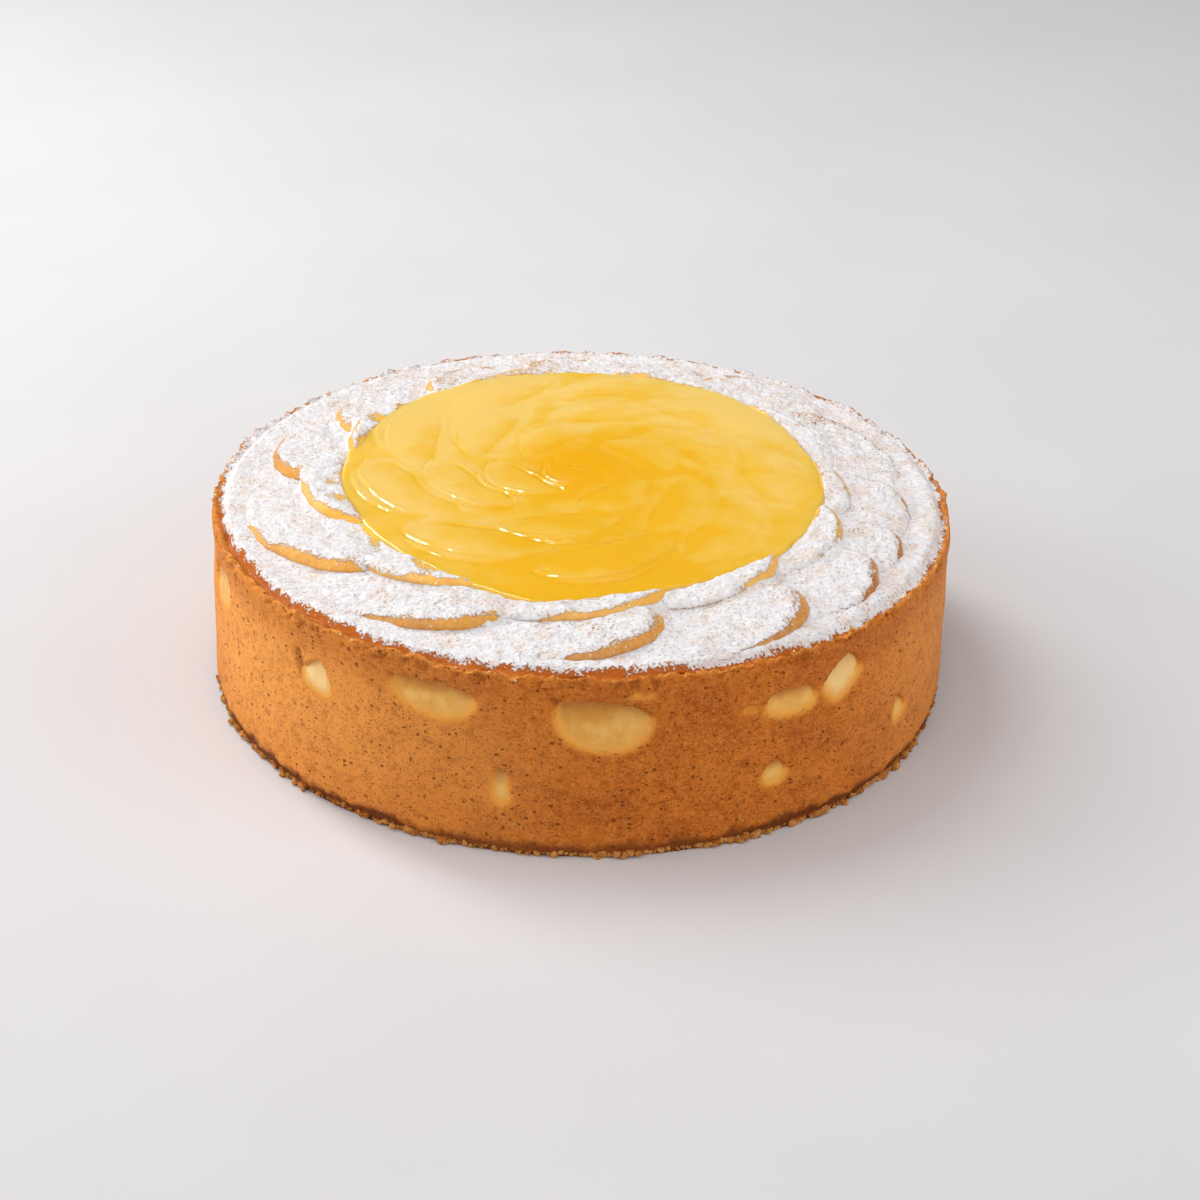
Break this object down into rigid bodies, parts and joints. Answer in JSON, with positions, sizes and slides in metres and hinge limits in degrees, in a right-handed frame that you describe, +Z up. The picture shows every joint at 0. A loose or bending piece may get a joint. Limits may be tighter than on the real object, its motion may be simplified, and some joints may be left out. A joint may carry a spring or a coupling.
{
  "type": "pear tart",
  "caption": "Deep round pear tart with a browned cake wall, overlapping sugared pear slices round its rim and a glazed pear rosette in the middle.",
  "frame": {"origin": "centre of the flat base, on the surface that the tart stands on", "axes": "+Z up through the middle of the rosette, -Y towards the side that the picture shows, +X to its right"},
  "size_m": [0.2429, 0.2429, 0.0671],
  "materials": {
    "crust": "golden-brown baked crumb with fine pores, darker at the foot and lip",
    "sugared_pear": "icing sugar over baked pear, bare amber flesh at the edges",
    "glaze": "clear glossy yellow glaze over pear",
    "baked_pear": "moist pale yellow cooked pear"
  },
  "bodies": {
    "root": {"tart_body": "crust", "glazed_rosette": "glaze", "pear_slice_outer_01": "sugared_pear", "pear_slice_outer_02": "sugared_pear", "pear_slice_outer_03": "sugared_pear", "pear_slice_outer_04": "sugared_pear", "pear_slice_outer_05": "sugared_pear", "pear_slice_outer_06": "sugared_pear", "pear_slice_outer_07": "sugared_pear", "pear_slice_outer_08": "sugared_pear", "pear_slice_outer_09": "sugared_pear", "pear_slice_outer_10": "sugared_pear", "pear_slice_outer_11": "sugared_pear", "pear_slice_outer_12": "sugared_pear", "pear_slice_outer_13": "sugared_pear", "pear_slice_outer_14": "sugared_pear", "pear_slice_inner_01": "sugared_pear", "pear_slice_inner_02": "sugared_pear", "pear_slice_inner_03": "sugared_pear", "pear_slice_inner_04": "sugared_pear", "pear_slice_inner_05": "sugared_pear", "pear_slice_inner_06": "sugared_pear", "pear_slice_inner_07": "sugared_pear", "pear_slice_inner_08": "sugared_pear", "pear_slice_inner_09": "sugared_pear", "pear_slice_inner_10": "sugared_pear", "pear_side_01": "baked_pear", "pear_side_02": "baked_pear", "pear_side_03": "baked_pear", "pear_side_04": "baked_pear", "pear_side_05": "baked_pear", "pear_side_06": "baked_pear", "pear_side_07": "baked_pear", "pear_side_08": "baked_pear", "pear_side_09": "baked_pear", "pear_side_10": "baked_pear", "pear_side_11": "baked_pear", "pear_side_12": "baked_pear", "pear_side_13": "baked_pear", "pear_side_14": "baked_pear", "pear_side_15": "baked_pear", "pear_side_16": "baked_pear", "pear_side_17": "baked_pear"}
  },
  "joints": []
}
